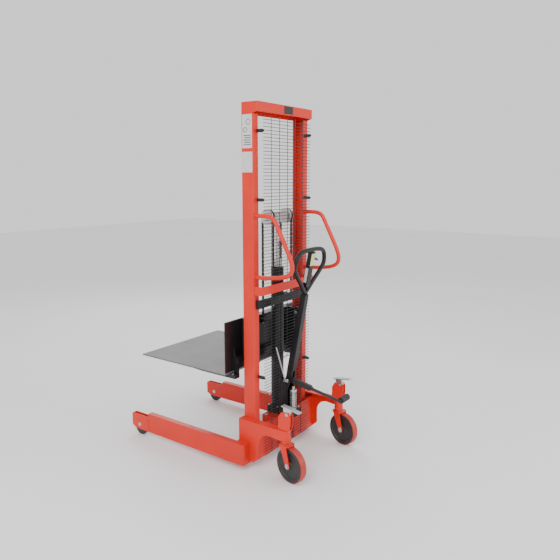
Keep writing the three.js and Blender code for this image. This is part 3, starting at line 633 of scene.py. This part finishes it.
def chains():
    """Straight strands, the wraps over the sheaves, and the anchor bolts."""
    top, end_pin, wrap_links = SHEAVE_CENTRE.z, 0.006, 9
    strands = (
        ("rear", CHAIN_REAR_Y, 0.955, ("mast", "ram")),
        ("front", CHAIN_FRONT_Y, 0.835, ("carriage", "ram")))
    anchors = ((CHAIN_REAR_Y, 0.930, "mast"), (CHAIN_FRONT_Y, 0.813, "carriage"))
    for side_name, sign in SIDES.items():
        x = sign * SHEAVE_CENTRE.x
        for part, y, low, bodies in strands:
            count = round((top - low - end_pin) / CHAIN_PITCH)
            step = (top - low - end_pin) / count
            bm = bmesh.new()
            add_chain(bm, x, [(x, y, low + end_pin + step * s) for s in range(count + 1)])
            strand = finish_piece(f"chain_{part}_links_{side_name}", bm, None, "chain_steel")
            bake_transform(strand)
            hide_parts(f"chain_{part}_{side_name}")
        bm = bmesh.new()
        add_chain(bm, x, [
            (x, SHEAVE_CENTRE.y + CHAIN_WRAP_RADIUS * math.cos(math.pi * s / wrap_links),
             SHEAVE_CENTRE.z + CHAIN_WRAP_RADIUS * math.sin(math.pi * s / wrap_links))
            for s in range(wrap_links + 1)])
        wrap = finish_piece(f"chain_wrap_links_{side_name}", bm, "ram", "chain_steel")
        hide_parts(f"chain_wrap_{side_name}")
        for y, z, body_name in anchors:
            anchor = bmesh.new()
            add_bolt(anchor, (x, y, z), (0, 0, -1), 0.0058, 0.006)
            finish_piece(f"chain_anchor_{body_name}_{side_name}", anchor, body_name, "zinc_plate", 0.0005)


chains()


# ---------- wheels and rollers ----------
def caster_wheels():
    """Dished cores with a red tread, axle nuts, swivel races, and the welds of the swivel tubes."""
    along = Vector((math.cos(CASTER_TURN), math.sin(CASTER_TURN), 0))
    for side_name, sign in SIDES.items():
        offset = Matrix.Rotation(CASTER_TURN, 3, "Z") @ Vector((0, -CASTER_TRAIL, 0))
        stem = (sign * STEM_X, STEM_Y, 0)
        centre = Vector((sign * STEM_X, STEM_Y, WHEEL_RADIUS)) + offset
        core = bmesh.new()
        add_turned(core, both_faces([
            (0.0081, -0.022), (0.0205, -0.022), (0.022, -0.0205), (0.0235, -0.0175), (0.030, -0.0155),
            (0.068, -0.0145), (0.074, -0.0155), (0.078, -0.0195), (0.080, -0.0208), (0.0955, -0.0208)]),
            centre, along, 120)
        wheel = finish_piece(f"wheel_core_{side_name}", core, f"caster_wheel_{side_name}", "wheel_rubber")
        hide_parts(f"caster_wheel_{side_name}")
        tread = bmesh.new()
        add_turned(tread, both_faces([
            (0.0950, -0.0204), (0.0972, -0.0202), (0.0987, -0.0185), (0.0996, -0.0155),
            (WHEEL_RADIUS, -0.0105)]), centre, along, 144)
        finish_piece(
            f"wheel_tread_{side_name}", tread, f"caster_wheel_{side_name}", "red_tread")
        hub = bmesh.new()
        for face in (1, -1):
            mid = centre + along * (0.0338 * face)
            add_bolt(hub, mid, along * face, 0.0105, 0.0042)
        finish_piece(f"caster_nuts_{side_name}", hub, f"caster_{side_name}", "zinc_plate", 0.0006)
        race = bmesh.new()
        add_turned(race, [
            (0.017, 0.2117), (0.0255, 0.2117), (0.027, 0.2122), (0.027, 0.2132), (0.0255, 0.2137),
            (0.017, 0.2137)], stem, segments=96)
        finish_piece(f"swivel_race_{side_name}", race, f"caster_{side_name}", "zinc_plate")
        welds = bmesh.new()
        add_ring_weld(welds, (sign * STEM_X, STEM_Y, 0.2305), (0, 0, 1), 0.0266, 0.0022)
        finish_piece(f"stem_welds_{side_name}", welds, "mast", "red_paint")


caster_wheels()


def front_rollers():
    for side_name, sign in SIDES.items():
        centre = (sign * FRONT_ROLLER_X, back(866), 0.05)
        bm = bmesh.new()
        add_turned(bm, both_faces([
            (0.0081, -0.010), (0.0185, -0.010), (0.020, -0.009), (0.022, -0.0078), (0.040, -0.0078),
            (0.0415, -0.009), (0.043, -0.010), (0.0475, -0.010), (0.0492, -0.0092), (0.05, -0.0075)]),
            centre, (1, 0, 0), 110)
        roller = finish_piece(f"load_roller_{side_name}", bm, f"front_roller_{side_name}", "black_plastic")
        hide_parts(f"front_roller_{side_name}")
        caps = bmesh.new()
        for face in (1, -1):
            x = sign * FRONT_ROLLER_X + face * 0.0181
            add_bolt(caps, (x, centre[1], 0.072), (face, 0, 0), 0.0085, 0.0035)
        finish_piece(f"load_roller_nuts_{side_name}", caps, "mast", "zinc_plate", 0.0006)


front_rollers()


# ---------- grab handles ----------
# The right handle's centre line, as millimetres in front of the uprights' rear face and height.
HANDLE_PATH = [
    (-1.4, 1450), (-30, 1450), (-70, 1449.5), (-97, 1445), (-118, 1434), (-135, 1411), (-161, 1362),
    (-187, 1313), (-208, 1273), (-226, 1236), (-238, 1204), (-241, 1178), (-234, 1155), (-214, 1138),
    (-187, 1128), (-161, 1122), (-120, 1116.5), (-80, 1112.5), (-40, 1110.5), (-1.4, 1110)]


def grab_handles():
    for side_name, sign in SIDES.items():
        x = sign * 0.245
        bm = bmesh.new()
        add_tube(bm, curve_points([(x, back(y), z / 1000) for y, z in HANDLE_PATH], 6), 0.012, 32)
        handle = finish_piece(f"grab_tube_{side_name}", bm, "mast", "red_paint")
        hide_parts(f"grab_handle_{side_name}")
        welds = bmesh.new()
        for z in (1.450, 1.110):
            add_ring_weld(welds, (x, back(-1.6), z), (0, 1, 0), 0.0128, 0.0022)
        finish_piece(f"grab_welds_{side_name}", welds, "mast", "red_paint")


grab_handles()


# ---------- tiller ----------
# The tiller is laid out upright on its pivot, in x and height along the arm, and LEAN tips it to rest.
LEAN = Matrix.Translation(PIVOT) @ Matrix.Rotation(TILLER_TILT, 4, "X")
LOOP_HALF = [
    (10, 556), (60, 610), (118, 668), (147, 705), (150, 735), (135, 775), (105, 798), (60, 806)]


def tiller_details():
    control = LOOP_HALF + [(0, 808)] + [(-x, s) for x, s in reversed(LOOP_HALF)]
    points = [LEAN @ p for p in curve_points([(x / 1000, 0, s / 1000) for x, s in control], 8, closed=True)]
    bm = bmesh.new()
    add_tube(bm, points, 0.0125, 32, closed=True)
    loop = finish_piece("loop_tube", bm, "tiller", "black_paint")
    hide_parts("tiller_loop")

    welds = bmesh.new()
    for sign in (1, -1):
        ends = [LEAN @ Vector((sign * 0.016, y, 0.5425)) for y in (0.008, -0.008)]
        add_weld(welds, *ends)
    finish_piece("loop_welds", welds, "tiller", "black_paint")

    plate = bmesh.new()
    add_prism(plate, [(-0.017, 0.715), (0.017, 0.715), (0.017, 0.785), (-0.017, 0.785)],
              LEAN @ Matrix.Translation((0, -0.0128, 0)) @ Matrix.Rotation(math.pi / 2, 4, "X"), 0.0006)
    finish_piece("head_sticker", plate, "tiller", "label_yellow", 0.0002)

    side = bmesh.new()
    add_prism(side, [(-0.009, 0.615), (0.009, 0.615), (0.009, 0.700), (-0.009, 0.700)],
              LEAN @ Matrix.Translation((-0.0222, 0, 0)) @ Matrix.Rotation(math.pi / 2, 4, "X")
              @ Matrix.Rotation(-math.pi / 2, 4, "Y"), 0.0006)
    finish_piece("head_side_plate", side, "tiller", "label_grey", 0.0002)


tiller_details()


# ---------- pump ----------
def pump_details():
    centre = (0, back(-83))
    coil = bmesh.new()
    add_coil(coil, centre, 0.2842, 0.3977, 0.0195, 0.0024, 9)
    spring = finish_piece("pump_coil", coil, None, "zinc_plate")
    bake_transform(spring)
    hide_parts("pump_spring")

    sleeve = bmesh.new()
    add_turned(sleeve, [
        (0.0088, -0.0392), (0.0165, -0.0392), (0.0182, -0.038), (0.019, -0.036)]
        + [(0.019 - (0.0011 if step % 2 else 0), -0.034 + 0.00283 * step) for step in range(25)]
        + [(0.019, 0.036), (0.0182, 0.038), (0.0165, 0.0392), (0.0088, 0.0392)],
        (0.05, back(-405), 0.400), (1, 0, 0), 64)
    finish_piece("foot_grip", sleeve, "foot_lever", "black_plastic")

    bolts = bmesh.new()
    for x, y in ((-0.032, -20), (0.032, -20), (-0.032, -100), (0.032, -100)):
        add_bolt(bolts, (x, back(y), 0.2838), (0, 0, 1), 0.005, 0.004)
    for x in (-0.042, 0.042):
        for y in (2, 64):
            add_bolt(bolts, (x, back(y), 0.2832), (0, 0, 1), 0.0048, 0.004)
    for sign in (1, -1):
        add_bolt(bolts, (sign * 0.0362, PIVOT.y, PIVOT.z), (sign, 0, 0), 0.0085, 0.0025)
    finish_piece("pump_bolts", bolts, "mast", "zinc_plate", 0.0005)

    fitting = bmesh.new()
    add_rod(fitting, (0.042, back(-60), 0.262), (0.052, back(-60), 0.262), 0.0085, 0.001, 24)
    add_rod(fitting, (0.052, back(-60), 0.262), (0.058, back(-60), 0.262), 0.0062, 0.001, 24)
    finish_piece("valve_plug", fitting, "mast", "zinc_plate", 0.0004)


pump_details()


# ---------- foot brakes ----------
def brake_details():
    """Return springs, tread ribs and pin nuts. The right brake is drawn set, the left one free."""
    for side_name, sign in SIDES.items():
        drop = 0.005 if side_name == "right" else 0.0
        centre = (sign * STEM_X, STEM_Y)
        coil = bmesh.new()
        add_coil(coil, centre, 0.2946, 0.3458 - drop, 0.0075, 0.0013, 7)
        spring = finish_piece(f"brake_coil_{side_name}", coil, None, "yellow_zinc")
        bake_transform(spring)

        tilt = math.radians(-18) if side_name == "right" else 0.0
        pin = Vector((sign * STEM_X, back(-250), 0.385))
        turn = Matrix.Translation(pin) @ Matrix.Rotation(tilt, 4, "X") @ Matrix.Translation(-pin)
        ribs = bmesh.new()
        for step in range(8):
            y = -222 - 13 * step
            z = 0.429 - 0.020 * (-212 - y) / 115
            left = turn @ Vector((sign * STEM_X - 0.0125, back(y), z))
            right = turn @ Vector((sign * STEM_X + 0.0125, back(y), z))
            add_rod(ribs, left, right, 0.0013, 0.0004, 12)
        finish_piece(f"pedal_ribs_{side_name}", ribs, f"brake_pedal_{side_name}", "zinc_plate")

        nuts = bmesh.new()
        for face in (1, -1):
            add_bolt(nuts, (pin.x + face * 0.0182, pin.y, pin.z), (face, 0, 0), 0.0062, 0.0025)
        finish_piece(f"brake_pin_nuts_{side_name}", nuts, "mast", "zinc_plate", 0.0005)


brake_details()


# ---------- labels, pad and welds on the mast ----------
def mast_details():
    """Blank labels with plain marks, the beam's pad and lug, and the welds of the frame."""
    outer = -UPRIGHT_HALF
    labels = bmesh.new()
    for y0, y1, z0, z1 in ((5, 71, 1.809, 1.985), (3, 74, 1.682, 1.790)):
        add_block(labels, (outer - 0.0006, back(y0), z0), (outer - 0.0001, back(y1), z1))
    finish_piece("mast_labels", labels, "mast", "label_grey", 0.0002)

    marks = bmesh.new()
    face = outer - 0.0009
    for centre_y, centre_z, size in ((30, 1.945, 0.014), (50, 1.905, 0.012)):
        angles = [math.tau * s / 40 for s in range(40)]
        ring = [(face, back(centre_y) + size * math.cos(a), centre_z + size * math.sin(a)) for a in angles]
        add_tube(marks, ring, 0.0014, 6, closed=True)
    for row in range(5):
        rise = 0.012 * row
        add_block(
            marks, (face, back(12), 1.825 + rise), (face + 0.0004, back(62 - 6 * (row % 2)), 1.829 + rise))
    finish_piece("mast_label_marks", marks, "mast", "label_ink")

    pad = bmesh.new()
    add_block(pad, (-0.020, back(-31.2), 2.004), (0.065, back(-30.1), 2.046))
    finish_piece("beam_pad", pad, "mast", "black_plastic", 0.0004)

    lug = bmesh.new()
    add_block(lug, (0.225, back(20), 2.0502), (0.245, back(50), 2.0545))
    finish_piece("beam_lug", lug, "mast", "red_paint", 0.0008)

    welds = bmesh.new()
    for sign in (1, -1):
        add_weld(welds, (sign * 0.2688, back(3), 1.9888), (sign * 0.2688, back(75), 1.9888), 0.0018)
        add_weld(welds, (sign * 0.2683, back(79.5), 0.06), (sign * 0.2683, back(79.5), 0.275), 0.0022)
        side_face = sign * (SIDE_OUTER + 0.0012)
        for y in (75.5, -0.6):
            add_weld(welds, (side_face, back(y), 0.045), (side_face, back(y), 0.156), 0.0024)
        add_weld(welds, (sign * 0.3415, back(782.2), 0.127), (sign * 0.3785, back(782.2), 0.127), 0.0018)
        add_weld(welds, (sign * 0.3785, back(782.2), 0.042), (sign * 0.3785, back(782.2), 0.125), 0.0018)
        add_weld(welds, (sign * 0.2625, back(-1), 1.012), (sign * 0.2625, back(-1), 1.058), 0.0020)
        add_weld(welds, (sign * 0.3076, back(-28.6), 0.05), (sign * 0.3076, back(-28.6), 0.25), 0.0020)
    finish_piece("frame_welds", welds, "mast", "red_paint")


mast_details()


# ---------- carriage details ----------
def carriage_details():
    bolts = bmesh.new()
    for sign in (1, -1):
        for z in (0.63, 0.82):
            add_bolt(bolts, (sign * 0.1998, back(39), z), (-sign, 0, 0), 0.0095, 0.0045)
    finish_piece("carriage_bolts", bolts, "carriage", "zinc_plate", 0.0006)
    welds = bmesh.new()
    for sign in (1, -1):
        for x in (0.2808, 0.2892):
            add_weld(welds, (sign * x, back(133), 0.56), (sign * x, back(133), 0.695), 0.0018)
        for z in (0.6005, 0.6395):
            add_weld(welds, (sign * 0.1995, back(132), z), (sign * 0.1995, back(104), z), 0.0018)
    finish_piece("carriage_welds", welds, "carriage", "black_paint")


carriage_details()


# ---------- floor, light and camera ----------
def set_stage():
    bpy.ops.mesh.primitive_plane_add(size=30, location=(0, 0, 0))
    floor = bpy.context.object
    floor.name = "studio_floor"
    made, tree, shader, add = material("floor_pale", (0.86, 0.86, 0.86), 0.7)
    cloud = noise(tree, add, 0.6, detail=3)
    tones = [(0.3, (0.85, 0.85, 0.85)), (0.7, (0.88, 0.88, 0.88))]
    vary_colour(tree, add, shader, cloud.outputs["Fac"], tones)
    floor.data.materials.append(made)

    world = bpy.data.worlds.new("studio")
    bpy.context.scene.world = world
    world.use_nodes = True
    world.node_tree.nodes["Background"].inputs["Color"].default_value = (1, 1, 1, 1)
    world.node_tree.nodes["Background"].inputs["Strength"].default_value = 1.1

    for name, place, target, size, power in (
            ("key", (-3.6, -1.4, 3.4), (0, 0, 0.9), 2.4, 120),
            ("fill", (1.2, -4.2, 2.4), (0, 0, 0.8), 2.6, 60),
            ("rim", (2.8, 3.2, 3.2), (0, 0, 1.0), 2.2, 60)):
        light = bpy.data.lights.new(name, "AREA")
        light.size = size
        light.energy = power
        lamp = bpy.data.objects.new(name, light)
        lamp.location = place
        lamp.rotation_euler = (Vector(target) - Vector(place)).to_track_quat("-Z", "Y").to_euler()
        bpy.context.scene.collection.objects.link(lamp)


def set_camera():
    lens = bpy.data.cameras.new("camera")
    lens.lens = 37.35
    lens.sensor_width = 36
    camera = bpy.data.objects.new("camera", lens)
    camera.location = (-2.7512, -2.2105, 1.6516)
    camera.rotation_euler = (math.radians(90 - 9.95), 0, math.radians(-54.45))
    bpy.context.scene.collection.objects.link(camera)
    bpy.context.scene.camera = camera


set_stage()
set_camera()
